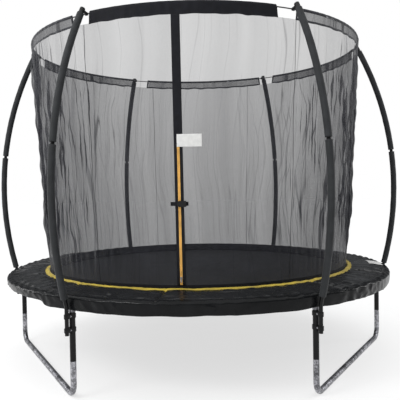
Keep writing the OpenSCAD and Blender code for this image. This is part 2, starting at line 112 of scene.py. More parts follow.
def mesh_object(name, points, faces, uvs):
    """A mesh object from arrays of points, quads and one uv pair per corner. A closed one faces outwards."""
    points = np.asarray(points, float)
    p0, p1, p2, p3 = (points[faces[:, k]] for k in range(4))
    volume = np.einsum("ij,ij->", p0, np.cross(p1, p2) + np.cross(p2, p3))
    if volume < 0:
        faces, uvs = flipped(faces, uvs)
    mesh = bpy.data.meshes.new(name)
    mesh.vertices.add(len(points))
    mesh.vertices.foreach_set("co", np.ascontiguousarray(points, np.float32).ravel())
    mesh.loops.add(faces.size)
    mesh.loops.foreach_set("vertex_index", faces.astype(np.int32).ravel())
    mesh.polygons.add(len(faces))
    mesh.polygons.foreach_set("loop_start", np.arange(0, faces.size, 4, dtype=np.int32))
    mesh.polygons.foreach_set("use_smooth", np.full(len(faces), True))
    layer = mesh.uv_layers.new(name="UVMap")
    layer.data.foreach_set("uv", np.ascontiguousarray(uvs, np.float32).ravel())
    mesh.update(calc_edges=True)
    mesh.validate()
    return new_object(name, mesh)


def grid_faces(nu, nv, wrap_u, wrap_v, uv):
    """Quads of a grid of points, with a uv pair per corner that runs to uv across the grid."""
    iu = np.arange(nu if wrap_u else nu - 1)
    iv = np.arange(nv if wrap_v else nv - 1)
    i, j = np.meshgrid(iu, iv, indexing="ij")
    corners = ((0, 0), (1, 0), (1, 1), (0, 1))
    quads = np.stack([((i + a) % nu) * nv + (j + b) % nv for a, b in corners], -1)
    flat = [np.stack([(i + a) / len(iu) * uv[0], (j + b) / len(iv) * uv[1]], -1) for a, b in corners]
    return quads.reshape(-1, 4), np.stack(flat, 2).reshape(-1, 2)


def surface(name, points, wrap_u=False, wrap_v=False, uv=(1, 1)):
    """An object from a grid of points, shaped (nu, nv, 3). Its uv map runs to uv, in metres for cloth."""
    nu, nv = points.shape[:2]
    faces, uvs = grid_faces(nu, nv, wrap_u, wrap_v, uv)
    return mesh_object(name, points.reshape(-1, 3), faces, uvs)


def closed_ring(name, first, second, uv):
    """A closed ring from the grids of its two faces, the second of which is run through backwards."""
    return surface(name, np.concatenate([first, second[:, ::-1]], 1), wrap_u=True, wrap_v=True, uv=uv)


def thicken(obj, thickness, offset=0):
    """Gives a single-sided sheet its thickness: half on each side, or all below it where offset is -1."""
    solid = obj.modifiers.new("thickness", "SOLIDIFY")
    solid.thickness = thickness
    solid.offset = offset
    return obj


def joined(name, parts):
    """One object from several (points, faces, uvs) groups."""
    points, faces, uvs, start = [], [], [], 0
    for part_points, part_faces, part_uvs in parts:
        points.append(part_points.reshape(-1, 3))
        faces.append(part_faces + start)
        uvs.append(part_uvs)
        start += len(points[-1])
    return mesh_object(name, np.concatenate(points), np.concatenate(faces), np.concatenate(uvs))


def tube_part(path, radius, sides, closed=False):
    """Points, quads and uvs of a round tube along a path. Open ends are closed by shrunken rings."""
    shrunken = 1e-5
    radius = np.full(len(path), radius)
    if not closed:
        path = np.concatenate([path[:1], path, path[-1:]])
        radius = np.concatenate([[shrunken], radius, [shrunken]])
    ahead = np.roll(path, -1, 0) - np.roll(path, 1, 0)
    if not closed:
        ahead[0] = ahead[1] = path[2] - path[1]
        ahead[-1] = ahead[-2] = path[-2] - path[-3]
    ahead /= np.linalg.norm(ahead, axis=1)[:, None]
    # Each ring's first direction is the last ring's, made square to the path again
    side = np.zeros_like(path)
    first = np.cross(ahead[0], (0, 0, 1) if abs(ahead[0][2]) < 0.9 else (1, 0, 0))
    side[0] = first / np.linalg.norm(first)
    for k in range(1, len(path)):
        across = side[k - 1] - ahead[k] * np.dot(side[k - 1], ahead[k])
        side[k] = across / np.linalg.norm(across)
    other = np.cross(ahead, side)
    turn = np.arange(sides) * TAU / sides
    ring = side[:, None] * np.cos(turn)[None, :, None] + other[:, None] * np.sin(turn)[None, :, None]
    points = path[:, None] + ring * radius[:, None, None]
    length = float(np.linalg.norm(np.diff(path, axis=0), axis=1).sum())
    faces, uvs = grid_faces(len(path), sides, closed, True, (length, TAU * float(radius.max())))
    return (points, *flipped(faces, uvs))


def box_part(size, bevel):
    """Points, quads and uvs of a box round the origin, with rounded edges. Each side is a 3 x 3 grid."""
    half = np.array(size) / 2
    lines = [np.array([-h, -h + bevel, h - bevel, h]) for h in half]
    points, faces, uvs = [], [], []
    for axis in range(3):
        for sign in (-1, 1):
            u, v = [other for other in range(3) if other != axis]
            side = np.zeros((4, 4, 3))
            side[..., u] = lines[u][:, None]
            side[..., v] = lines[v][None, :]
            side[..., axis] = sign * half[axis]
            quads, flat = grid_faces(4, 4, False, False, (2 * half[u], 2 * half[v]))
            if (sign > 0) == (axis == 1):
                quads, flat = flipped(quads, flat)
            faces.append(quads + 16 * len(points))
            points.append(side.reshape(-1, 3))
            uvs.append(flat)
    points = np.concatenate(points)
    # A point on an edge or a corner is pulled in, so the box is rounded
    inner = np.clip(points, -(half - bevel), half - bevel)
    out = points - inner
    points = inner + out * (bevel / np.linalg.norm(out, axis=1))[:, None]
    return points, np.concatenate(faces), np.concatenate(uvs)


def column(low, high, count):
    """Evenly spaced values as a column, for a grid's first direction."""
    return np.linspace(low, high, count)[:, None]


def row(low, high, count):
    """Evenly spaced values as a row, for a grid's second direction."""
    return np.linspace(low, high, count)[None, :]


def round_angles(steps):
    """Evenly spaced angles of one turn, as a column."""
    return (np.arange(steps) / steps * TAU)[:, None]


def away_from(a, angle):
    """How far the angles a are from an angle, the short way round."""
    return np.angle(np.exp(1j * (a - angle)))


def polar(r, a, z):
    """Points at radius r, angle a and height z."""
    r, a, z = np.broadcast_arrays(r, a, z)
    return np.stack([r * np.cos(a), r * np.sin(a), z], -1)


def turned(points, angle):
    """A list of points, turned about the Z axis."""
    cos, sin = math.cos(angle), math.sin(angle)
    return points.reshape(-1, 3) @ np.array([[cos, sin, 0], [-sin, cos, 0], [0, 0, 1]])


def ripples(x, y, seed, count, lengths, slant=0.3):
    """A sum of sine waves along x, with lengths between the two given, which lean by slant along y."""
    draw = np.random.default_rng(seed)
    total = np.zeros(np.broadcast(x, y).shape)
    for _ in range(count):
        wave = draw.uniform(*lengths)
        lean = draw.normal(0, slant)
        phase = draw.uniform(0, TAU)
        total = total + draw.uniform(0.5, 1) * np.sin(TAU * (x + lean * y) / wave + phase)
    return total / math.sqrt(count)


def circular(a, z, seed, count, turns, slant):
    """A sum of sine waves round a circle, which lean by slant along z. Each has a whole number of waves to a
    turn, between the two given, so that it closes at 360 degrees."""
    draw = np.random.default_rng(seed)
    total = np.zeros(np.broadcast(a, z).shape)
    for _ in range(count):
        waves = draw.integers(turns[0], turns[1] + 1)
        lean = draw.normal(0, slant)
        phase = draw.uniform(0, TAU)
        total = total + draw.uniform(0.5, 1) * np.sin(waves * a + lean * z + phase)
    return total / math.sqrt(count)


# ---- materials

def set_inputs(node, **values):
    """Sets inputs of a node, where an underscore in a name stands for a space. Returns the node."""
    for key, value in values.items():
        node.inputs[key.replace("_", " ")].default_value = value
    return node


class Nodes:
    """A material's node tree, with short calls to build it."""

    def __init__(self, name):
        self.material = bpy.data.materials.new(name)
        self.material.use_nodes = True
        self.tree = self.material.node_tree
        self.shader = self.tree.nodes["Principled BSDF"]
        self.where = self.coords("Object")

    def node(self, kind, **values):
        return set_inputs(self.tree.nodes.new(kind), **values)

    def link(self, a, b):
        self.tree.links.new(a, b)

    def coords(self, kind):
        return self.node("ShaderNodeTexCoord").outputs[kind]

    def noise(self, scale, detail=3.0, distortion=0.0, vector=None):
        made = self.node("ShaderNodeTexNoise", Scale=scale, Detail=detail, Distortion=distortion)
        self.link(vector or self.where, made.inputs["Vector"])
        return made.outputs["Fac"]

    def cells(self, scale, output):
        made = self.node("ShaderNodeTexVoronoi", Scale=scale)
        self.link(self.where, made.inputs["Vector"])
        return made.outputs[output]

    def spread(self, value, low, high, start=0.0, end=1.0):
        """Takes a value from the range start to end to the range low to high."""
        made = self.node("ShaderNodeMapRange", From_Min=start, From_Max=end, To_Min=low, To_Max=high)
        self.link(value, made.inputs["Value"])
        return made.outputs["Result"]

    def maths(self, operation, *values):
        made = self.node("ShaderNodeMath")
        made.operation = operation
        for socket, value in zip(made.inputs, values):
            if isinstance(value, float):
                socket.default_value = value
            else:
                self.link(value, socket)
        return made.outputs[0]

    def add(self, total, *values):
        for value in values:
            total = self.maths("ADD", total, value)
        return total

    def times(self, a, b):
        return self.maths("MULTIPLY", a, b)

    def wave(self, value, pitch):
        """A sine wave from -1 to 1, of the given pitch."""
        return self.maths("SINE", self.times(value, TAU / pitch))

    def split(self, vector):
        made = self.node("ShaderNodeSeparateXYZ")
        self.link(vector, made.inputs[0])
        return made.outputs

    def threads(self, pitch_u, pitch_v, vector=None):
        """A weave's height, from 0 to 1, with threads at the given pitches of the uv map, in metres."""
        u, v = self.split(vector or self.coords("UV"))[:2]
        return self.add(self.times(self.times(self.wave(u, pitch_u), self.wave(v, pitch_v)), 0.5), 0.5)

    def colour(self, value, stops):
        """Base colour from a ramp: a (place, colour) pair for each stop."""
        made = self.node("ShaderNodeValToRGB")
        elements = made.color_ramp.elements
        while len(elements) < len(stops):
            elements.new(0.5)
        for element, (place, colour) in zip(elements, stops):
            element.position = place
            element.color = (*colour, 1)
        self.link(value, made.inputs["Fac"])
        self.link(made.outputs["Color"], self.shader.inputs["Base Color"])

    def varied_colour(self, colour, scale, low, high, detail=4.0):
        """Base colour that varies softly over the surface, from low to high times the given one."""
        darker, lighter = ([min(1.0, c * factor) for c in srgb(colour)] for factor in (low, high))
        self.colour(self.noise(scale, detail), [(0.35, darker), (0.65, lighter)])

    def rough(self, value, low, high):
        """Roughness from low to high, by a value from 0 to 1."""
        self.link(self.spread(value, low, high), self.shader.inputs["Roughness"])

    def bump(self, *heights):
        """Bumps, one over the other: (height, strength, distance) each."""
        last = None
        for height, strength, distance in heights:
            made = self.node("ShaderNodeBump", Strength=strength, Distance=distance)
            self.link(height, made.inputs["Height"])
            if last is not None:
                self.link(last, made.inputs["Normal"])
            last = made.outputs["Normal"]
        self.link(last, self.shader.inputs["Normal"])

    def set(self, **values):
        set_inputs(self.shader, **values)


def srgb(text):
    """A linear colour from a #rrggbb string."""
    parts = [int(text[k:k + 2], 16) / 255 for k in (1, 3, 5)]
    return tuple(c / 12.92 if c < 0.04045 else ((c + 0.055) / 1.055) ** 2.4 for c in parts)


def galvanised():
    n = Nodes("galvanised_steel")
    spangle = n.split(n.cells(95.0, "Color"))[0]
    patches = n.noise(11.0, detail=5.0, distortion=0.6)
    blend = n.add(n.times(spangle, 0.35), n.times(patches, 0.75))
    n.colour(blend, [(0.3, srgb("#4e4e51")), (0.55, srgb("#848488")), (0.8, srgb("#c2c2c8"))])
    n.rough(patches, 0.28, 0.55)
    n.set(Metallic=0.85)
    n.bump((n.noise(140.0, detail=2.0), 0.08, 0.001))
    return n.material


def bright_zinc():
    n = Nodes("bright_zinc")
    n.varied_colour("#a9a9ad", 60.0, 0.7, 1.15)
    n.rough(n.noise(200.0), 0.22, 0.42)
    n.set(Metallic=1.0)
    n.bump((n.noise(600.0, detail=2.0), 0.05, 0.0005))
    return n.material


def black_steel():
    n = Nodes("black_steel")
    n.varied_colour("#060607", 25.0, 0.7, 1.5)
    n.rough(n.noise(18.0, detail=5.0), 0.2, 0.38)
    n.set(Specular_IOR_Level=0.22)
    n.bump((n.noise(900.0, detail=2.0), 0.12, 0.0004))
    return n.material


def pole_foam():
    n = Nodes("pole_foam")
    n.varied_colour("#232527", 14.0, 0.82, 1.22, detail=6.0)
    n.rough(n.noise(30.0), 0.62, 0.85)
    dents = n.noise(22.0, detail=4.0)
    pores = n.cells(420.0, "Distance")
    n.bump((dents, 0.25, 0.004), (pores, 0.25, 0.0008))
    n.set(Sheen_Weight=0.08, Specular_IOR_Level=0.3)
    return n.material


def black_plastic():
    n = Nodes("black_plastic")
    n.varied_colour("#0e0e0f", 50.0, 0.8, 1.25)
    n.rough(n.noise(80.0), 0.38, 0.55)
    n.bump((n.noise(1500.0, detail=2.0), 0.15, 0.0003))
    n.set(Specular_IOR_Level=0.3)
    return n.material


def fibreglass():
    n = Nodes("fibreglass")
    n.varied_colour("#202124", 40.0, 0.8, 1.3)
    n.rough(n.noise(300.0), 0.3, 0.5)
    n.bump((n.noise(700.0), 0.1, 0.0004))
    return n.material


def mat_fabric():
    n = Nodes("mat_fabric")
    soft = n.noise(2.2, detail=4.0, distortion=0.8)
    n.colour(soft, [(0.3, srgb("#0a0b0c")), (0.7, srgb("#141517"))])
    n.rough(soft, 0.42, 0.6)
    weave = n.threads(0.0035, 0.0035, n.where)
    n.bump((n.noise(3.0), 0.15, 0.02), (weave, 0.35, 0.0006))
    n.set(Sheen_Weight=0.03, Specular_IOR_Level=0.35)
    return n.material


def black_webbing():
    n = Nodes("black_webbing")
    n.varied_colour("#0d0e14", 30.0, 0.75, 1.3)
    n.rough(n.noise(60.0), 0.7, 0.9)
    n.bump((n.noise(25.0, detail=4.0), 0.2, 0.003), (n.threads(0.0020, 0.0032), 0.5, 0.0006))
    n.set(Sheen_Weight=0.04, Specular_IOR_Level=0.25)
    return n.material


def pad_vinyl(name, specular):
    n = Nodes(name)
    broad = n.noise(5.0, detail=5.0, distortion=1.2)
    n.colour(broad, [(0.3, srgb("#08090a")), (0.7, srgb("#111214"))])
    n.rough(n.noise(9.0, distortion=0.5), 0.18, 0.36)
    patches = n.spread(n.noise(2.6, detail=2.0), 0.1, 1.0, start=0.46, end=0.62)
    creases = n.times(n.noise(26.0, detail=5.0, distortion=1.6), patches)
    fine = n.noise(90.0, distortion=0.8)
    n.bump((creases, 0.16, 0.005), (fine, 0.05, 0.001), (n.threads(0.003, 0.003), 0.1, 0.0003))
    n.set(Specular_IOR_Level=specular)
    return n.material


def binding(name, colour):
    n = Nodes(name)
    n.varied_colour(colour, 16.0, 0.78, 1.15)
    n.rough(n.noise(50.0), 0.45, 0.7)
    n.bump((n.noise(45.0, detail=4.0), 0.3, 0.003), (n.threads(0.0015, 0.0015), 0.35, 0.0004))
    n.set(Sheen_Weight=0.2)
    return n.material


def white_label():
    n = Nodes("white_label")
    n.varied_colour("#d4d4d2", 40.0, 0.93, 1.05)
    n.rough(n.noise(120.0), 0.5, 0.7)
    n.bump((n.noise(60.0), 0.2, 0.002), (n.threads(0.001, 0.001), 0.2, 0.0002))
    return n.material


def mesh_holes(n, u, v, low, high):
    """The share of cloth in an open mesh: low in its holes and high on its threads."""
    pitch = 0.0042
    ups = n.maths("ABSOLUTE", n.wave(u, 2 * pitch))
    acrosses = n.maths("ABSOLUTE", n.wave(v, 2 * pitch))
    return n.spread(n.times(ups, acrosses), high, low, start=0.05, end=0.8)


def upright_folds(n, u, v, side):
    """How much denser upright folds make a net: broad ones, and narrow ones that gather at its sides."""
    bent = n.spread(n.noise(0.8, detail=1.0, vector=n.coords("UV")), -0.2, 0.2)
    upright = n.node("ShaderNodeCombineXYZ")
    n.link(n.add(u, bent), upright.inputs[0])
    n.link(n.times(v, 0.025), upright.inputs[1])
    along = upright.outputs[0]
    wide = n.noise(5.0, detail=2.0, distortion=0.2, vector=along)
    narrow = n.noise(24.0, detail=2.0, distortion=0.2, vector=along)
    lines = n.maths("SUBTRACT", n.noise(9.0, detail=1.0, distortion=0.2, vector=along), 0.5)
    broad = n.spread(wide, -0.05, 0.05, start=0.3, end=0.7)
    folds = n.spread(narrow, 0.0, 0.13, start=0.58, end=0.72)
    creases = n.spread(n.maths("ABSOLUTE", lines), 0.26, 0.0, start=0.0, end=0.012)
    gather = n.spread(side, 0.35, 1.6, start=0.25, end=0.9)
    return broad, n.times(n.add(folds, creases), gather)


def see_through(name, low, high, edges=(), ends=None):
    """An open mesh, solid by a share from low, in its holes, to high, on its threads. Folds, sides and foot
    are denser. It is quite solid in the given stretches of its width, and past the given ends."""
    n = Nodes(name)
    n.varied_colour("#23242a", 12.0, 0.8, 1.25)
    n.set(Roughness=0.75, Specular_IOR_Level=0.25, Sheen_Weight=0.15)
    u, v = n.split(n.coords("UV"))[:2]
    x, _, z = n.split(n.where)
    side = n.maths("ABSOLUTE", n.maths("DIVIDE", x, RING_R))
    broad, narrow = upright_folds(n, u, v, side)
    flanks = n.times(n.maths("POWER", side, 4.0), 0.28)
    foot = n.spread(z, 0.11, -0.02, start=0.66, end=2.2)
    total = n.add(mesh_holes(n, u, v, low, high), broad, narrow, flanks, foot)
    for start, end in edges:
        inside = n.times(n.maths("GREATER_THAN", v, start), n.maths("LESS_THAN", v, end))
        total = n.add(total, inside)
    if ends:
        outside = n.add(n.maths("LESS_THAN", u, ends[0]), n.maths("GREATER_THAN", u, ends[1]))
        total = n.add(total, outside)
    n.link(n.maths("MINIMUM", total, 1.0), n.shader.inputs["Alpha"])
    return n.material


def floor_material():
    """A pale floor that also glows a little, so that its shadows stay pale."""
    n = Nodes("studio_floor")
    n.colour(n.noise(0.7, detail=2.0), [(0.3, (0.30, 0.30, 0.30)), (0.7, (0.33, 0.33, 0.33))])
    n.set(Roughness=0.9, Specular_IOR_Level=0.1, Emission_Color=(1, 1, 1, 1), Emission_Strength=0.67)
    return n.material


MATERIALS = {
    "galvanised_steel": galvanised(),
    "bright_zinc": bright_zinc(),
    "zip_metal": bright_zinc(),
    "black_steel": black_steel(),
    "pole_foam": pole_foam(),
    "black_plastic": black_plastic(),
    "fibreglass": fibreglass(),
    "mat_fabric": mat_fabric(),
    "black_webbing": black_webbing(),
    "pad_vinyl": pad_vinyl("pad_vinyl", specular=0.65),
    "yellow_binding": binding("yellow_binding", "#ab951d"),
    "yellow_zip": binding("yellow_zip", "#dda952"),
    "white_label": white_label(),
    "net_mesh": see_through("net_mesh", 0.24, 0.56),
}
# The sleeve is denser net, with three sewn bands along it and solid ends. The skirt is duller than the pad.
SLEEVE_BANDS = ((-0.001, 0.024), (0.061, 0.109), (0.146, 0.171))
SLEEVE_MESH = see_through("sleeve_mesh", 0.34, 0.62, edges=SLEEVE_BANDS, ends=(0.010, 1.240))
SKIRT_VINYL = pad_vinyl("skirt_vinyl", specular=0.14)


def finish_piece(obj, body, slot, *nodes):
    """Gives a piece the material of its slot and its body, if it has one, and hides the CAD nodes that it
    stands for.
    """
    obj.data.materials.clear()
    obj.data.materials.append(MATERIALS[slot])
    if body:
        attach(obj, body)
    if nodes:
        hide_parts(*nodes)


def paint_frame():
    """Every CAD node takes the material of its own slot."""
    slots = {part["node"]: part["material_slot"] for part in frame["record"]["subparts"]}
    for name, obj in frame["nodes"].items():
        for holder in obj.material_slots:
            holder.material = MATERIALS[slots[name]]


# ---- camera, light and floor

def add_camera():
    """The photo's camera: its place in metres, its turns in radians and its focal length in image widths."""
    place = (0.133, -4.664, 1.321)
    yaw, pitch, roll = 0.024, -0.028, -0.016
    focal_widths = 1.3765
    level = Matrix.Rotation(yaw, 4, "Z") @ Matrix.Rotation(math.pi / 2 + pitch, 4, "X")
    data = bpy.data.cameras.new("camera")
    data.sensor_width = 36
    data.lens = focal_widths * data.sensor_width
    camera = new_object("camera", data)
    camera.matrix_world = Matrix.Translation(place) @ level @ Matrix.Rotation(roll, 4, "Z")
    bpy.context.scene.camera = camera


def add_panel(name, place, size, power):
    """A rectangular light that faces the middle of the trampoline."""
    target = Vector((0, 0, 0.9))
    data = bpy.data.lights.new(name, "AREA")
    data.shape = "RECTANGLE"
    data.size, data.size_y = size
    data.energy = power
    light = new_object(name, data)
    light.location = place
    light.rotation_euler = (target - Vector(place)).to_track_quat("-Z", "Y").to_euler()


def add_world():
    """A white backdrop for the camera, and a dim even light for everything else."""
    world = bpy.data.worlds.new("studio")
    world.use_nodes = True
    tree = world.node_tree
    seen = set_inputs(tree.nodes["Background"], Color=(1, 1, 1, 1), Strength=1.0)
    dim = set_inputs(tree.nodes.new("ShaderNodeBackground"), Color=(0.93, 0.96, 1, 1), Strength=0.17)
    rays = tree.nodes.new("ShaderNodeLightPath")
    mix = tree.nodes.new("ShaderNodeMixShader")
    tree.links.new(rays.outputs["Is Camera Ray"], mix.inputs["Fac"])
    tree.links.new(dim.outputs[0], mix.inputs[1])
    tree.links.new(seen.outputs[0], mix.inputs[2])
    tree.links.new(mix.outputs[0], tree.nodes["World Output"].inputs["Surface"])
    bpy.context.scene.world = world


def add_sun():
    """A very wide soft light from overhead, which lights the floor evenly."""
    data = bpy.data.lights.new("overhead", "SUN")
    data.energy = 2.9
    data.angle = math.radians(110)
    sun = new_object("overhead", data)
    sun.rotation_euler = (math.radians(12), math.radians(-8), 0)


def add_studio():
    bpy.context.scene.view_settings.view_transform = "Standard"
    add_world()
    add_panel("key", place=(-3.6, -4.0, 4.2), size=(2.0, 1.4), power=130)
    add_panel("rim_left", place=(-5.5, 1.5, 2.4), size=(1.2, 3), power=60)
    add_panel("rim_right", place=(5.5, 1.0, 2.4), size=(1.2, 3), power=60)
    add_sun()
    half = 40.0
    flat = np.array([[[-half, -half, 0], [-half, half, 0]], [[half, -half, 0], [half, half, 0]]])
    floor = surface("floor", flat)
    floor.data.materials.append(floor_material())


# ---- net

def net_r(z):
    """The net's radius at height z, before its wrinkles."""
    return NET_LOW_R + (np.asarray(z) - BED_Z) * NET_LEAN


def sides(a):
    """1 at the two sides of the trampoline, where the cloth is gathered most, and 0 at its front and back."""
    return np.abs(np.cos(a)) ** 1.5


def wrinkle_size(a, z):
    """How deep the net's wrinkles are: none where it is sewn, and little beside the door."""
    hem_fade, sleeve_fade, door_width = 0.30, 0.12, 0.045
    front_depth, side_depth = 0.004, 0.015
    low = np.clip((z - HEM_TOP_Z) / hem_fade, 0, 1)
    high = np.clip((SLEEVE_LOW_Z - z) / sleeve_fade, 0, 1)
    door = 1 - 0.85 * np.exp(-((a - DOOR_A) / door_width) ** 2)
    return (front_depth + (side_depth - front_depth) * sides(a)) * low * (0.25 + 0.75 * high) * door


def net_points(a, z):
    """Points of the net: a plain cone whose wrinkles stand out of it and are pushed sideways."""
    long = circular(a, z, seed=11, count=9, turns=(22, 58), slant=3.0)
    short = circular(a, z, seed=12, count=9, turns=(70, 170), slant=5.0)
    crossing = circular(a, z, seed=13, count=5, turns=(16, 40), slant=13.0) * sides(a)
    gathers = circular(a, z, seed=15, count=6, turns=(90, 150), slant=4.0)
    sway = circular(a, z, seed=14, count=9, turns=(60, 150), slant=5.0)
    tucks = circular(a, z, seed=16, count=6, turns=(90, 150), slant=4.0) * sides(a)
    size = wrinkle_size(a, z)
    out = size * (0.8 * long + 0.6 * short + 0.8 * crossing + 0.4 * gathers)
    aside = size * (0.5 * sway + 1.1 * tucks)
    return polar(net_r(z) + out, a + aside / net_r(z), z)


def add_net():
    steps, rows = 2520, 100
    # It reaches a little way behind the hem and into the sleeve
    z = row(HEM_TOP_Z - 0.010, SLEEVE_LOW_Z + 0.004, rows)
    net = surface("enclosure_net_cloth", net_points(round_angles(steps), z), wrap_u=True, uv=(7.93, 1.68))
    finish_piece(net, "frame", "net_mesh", "enclosure_net")


def add_seams():
    """The sewn upright seams between the net's widths of cloth."""
    thread = 0.0016
    z = np.linspace(HEM_TOP_Z, SLEEVE_LOW_Z, 120)
    angles = np.radians([22, 67, 112, 146, 214, 239, 301, 338])
    parts = [tube_part(net_points(np.full_like(z, angle), z), thread, sides=6) for angle in angles]
    finish_piece(joined("net_seams", parts), "frame", "black_webbing")


def add_hem():
    """The webbing hem at the foot of the net."""
    steps, rows = 1080, 14
    half_t, wave_depth = 0.0018, 0.0010
    a = round_angles(steps)
    z = NET_LOW_Z + (HEM_TOP_Z - NET_LOW_Z) * row(0, 1, rows)
    wave = wave_depth * circular(a, z * 8, seed=21, count=7, turns=(60, 150), slant=2.0)
    outer = polar(net_r(z) + half_t + wave, a, z)
    inner = polar(net_r(z) - half_t + wave, a, z)
    hem = closed_ring("net_hem_band", outer, inner, uv=(TAU * NET_LOW_R, 0.13))
    finish_piece(hem, "frame", "black_webbing", "net_hem")


def sleeve_part(side):
    """One length of the sleeve, between two windows: a cloth folded over the rod, its two edges below."""
    steps, around = 200, 37
    foot_t, rod_t = 0.0012, 0.0080
    slant, ripple_depth, sag_depth = 0.012, 0.0020, 0.003
    middle = (SLEEVE_TOP_Z + SLEEVE_LOW_Z) / 2
    half = (SLEEVE_TOP_Z - SLEEVE_LOW_Z) / 2
    turn = TAU * row(0, 1, around) - math.pi / 2
    # Up runs from -1 at the foot, where the sleeve is thin, to 1 over the rod, where it is round
    up = np.sin(turn)
    thick = foot_t + (rod_t - foot_t) * np.clip((up + 0.75) / 1.4, 0, 1) ** 1.5
    first = side * TAU / SIDES + WINDOW[1] + slant * (1 + up) / 2
    last = (side + 1) * TAU / SIDES + WINDOW[0] - slant * (1 + up) / 2
    a = first + (last - first) * column(0, 1, steps)
    ripple = circular(a, up, seed=31, count=8, turns=(60, 160), slant=1.2) * (1 - 0.5 * np.clip(up, 0, 1))
    sag = circular(a, 0, seed=32, count=4, turns=(30, 70), slant=0.1) * np.clip(-up, 0, 1)
    r = RING_R + thick * np.cos(turn) + ripple_depth * ripple
    z = middle + half * np.sign(up) * np.abs(up) ** 0.85 + sag_depth * sag - 0.001
    return (polar(r, a, z), *grid_faces(steps, around, False, False, uv=(1.25, 0.17)))


def add_sleeve():
    """The sleeve round the top ring: webbing over the door, and net with sewn bands on the other sides."""
    door_side = 4
    front = joined("net_sleeve_front", [sleeve_part(door_side)])
    finish_piece(front, "frame", "black_webbing", "net_sleeve")
    rest = joined("net_sleeve_cloth", [sleeve_part(side) for side in range(SIDES) if side != door_side])
    finish_piece(rest, "frame", "net_mesh", "net_sleeve")
    rest.data.materials[0] = SLEEVE_MESH


# ---- door

def at_door(z):
    """The door's frame at height z: x out of the net, y along it, z up its slope."""
    lean = math.atan(NET_LEAN)
    spin = Matrix.Rotation(DOOR_A, 4, "Z")
    place = Matrix.Translation((float(net_r(z)), 0, z))
    return np.array(spin @ place @ Matrix.Rotation(lean, 4, "Y"))


def placed(points, matrix):
    return points.reshape(-1, 3) @ matrix[:3, :3].T + matrix[:3, 3]


def band(name, out, y, w, thickness, place):
    """A thin band by the door, from a column y along it, a row w up it and how far it stands out at each."""
    points = np.stack(np.broadcast_arrays(out, y, w), -1)
    size = (float(np.ptp(y)), float(np.ptp(w)))
    faces, uvs = grid_faces(y.size, w.size, False, False, size)
    return thicken(mesh_object(name, placed(points, place), faces, uvs), thickness)


def up_slope(low, high):
    """The length along the net's slope between two heights."""
    return (high - low) * math.sqrt(1 + NET_LEAN ** 2)


def add_door_tape():
    """The tape on which the zip is sewn. It follows the net's curve."""
    width, length = 0.055, up_slope(TAPE_LOW_Z, SLEEVE_LOW_Z)
    lift, ripple_depth, mean_r = 0.0034, 0.0007, 1.26
    y = column(-width / 2, width / 2, 12)
    w = row(0, length, 260)
    curve = np.sqrt(mean_r ** 2 - y ** 2) - mean_r
    out = lift + curve + ripple_depth * ripples(w, y, seed=81, count=6, lengths=(0.06, 0.4))
    tape = band("door_tape_cloth", out, y, w, thickness=0.0016, place=at_door(TAPE_LOW_Z))
    finish_piece(tape, "frame", "black_webbing", "door_tape")


def add_zip():
    """The zip's yellow edging and its two rows of teeth."""
    high, half_w = 1.630, 0.008
    length = up_slope(ZIP_LOW_Z, high)
    place = at_door(ZIP_LOW_Z)
    lift, ripple_depth, curl = 0.0051, 0.0004, 0.0006
    y = column(-half_w, half_w, 10)
    w = row(0, length, 300)
    ripple = ripple_depth * ripples(w, y, seed=82, count=6, lengths=(0.05, 0.3))
    out = lift + ripple + curl * (y / half_w) ** 2
    edging = band("zip_edging", out, y, w, thickness=0.001, place=place)
    finish_piece(edging, "frame", "yellow_zip", "zip_chain")
    pitch, tooth_lift, stagger = 0.0030, 0.0064, 0.0009
    points, faces, uvs = box_part((0.0012, 0.0030, 0.0011), bevel=0.0003)
    teeth = []
    for k in range(int(length / pitch)):
        side = 1 if k % 2 else -1
        middle = np.array([tooth_lift, side * stagger, (k + 0.5) * pitch])
        teeth.append((placed(points + middle, place), faces, uvs))
    finish_piece(joined("zip_teeth", teeth), "frame", "yellow_zip")


def add_buckle_strap():
    """The strap across the zip, on which the buckle is sewn."""
    half_l, half_w, strap_z = 0.056, 0.0125, 1.204
    lift, ripple_depth = 0.0093, 0.0003
    y = column(-half_l, half_l, 60)
    w = row(-half_w, half_w, 8)
    out = lift + ripple_depth * ripples(y, w, seed=83, count=4, lengths=(0.02, 0.08))
    strap = band("buckle_strap_web", out, y, w, thickness=0.0018, place=at_door(strap_z))
    finish_piece(strap, "frame", "black_webbing", "buckle_straps")


def add_net_label():
    """A plain white label beside the zip, sewn on at its left edge and curling a little at its right one."""
    low, high, width = 1.555, 1.633, 0.155
    sewn, lift, ripple_depth, curl = 0.008, 0.0085, 0.0006, 0.0025
    level = 1.6
    y = column(-sewn, width - sewn, 50)
    w = row(0, high - low, 24)
    radius = float(net_r(level)) + lift
    ripple = ripple_depth * ripples(y, w, seed=84, count=6, lengths=(0.03, 0.15))
    r = radius + ripple + curl * ((y + sewn) / width) ** 2
    z = low + w
    points = polar(r + (z - level) * NET_LEAN, DOOR_A + y / radius, z)
    label = thicken(surface("net_label_cloth", points, uv=(0.155, 0.078)), thickness=0.0006)
    finish_piece(label, "frame", "white_label", "net_label")


# ---- pad

PAD_SEAMS = np.radians([22, 58, 98, 142, 178, 231, 262, 309, 338])
PAD_WIDTH = PAD_OUT_R - PAD_IN_R
CLOTH_FRAMES = 14
CLOTH_CAP = 0.009
CLOTH_SETTINGS = {
    "quality": 4,
    "mass": 0.2,
    "tension_stiffness": 25,
    "compression_stiffness": 25,
    "shear_stiffness": 15,
    "bending_stiffness": 1.5,
    "shrink_min": -0.025,
    "shrink_max": -0.025,
    "vertex_group_mass": "held",
    "use_pressure": True,
    "uniform_pressure_force": 1.0,
}


def pad_top(r):
    """Height of the pad's upper face at radius r, before any relief."""
    return PAD_IN_Z + (PAD_OUT_Z - PAD_IN_Z) * (r - PAD_IN_R) / PAD_WIDTH


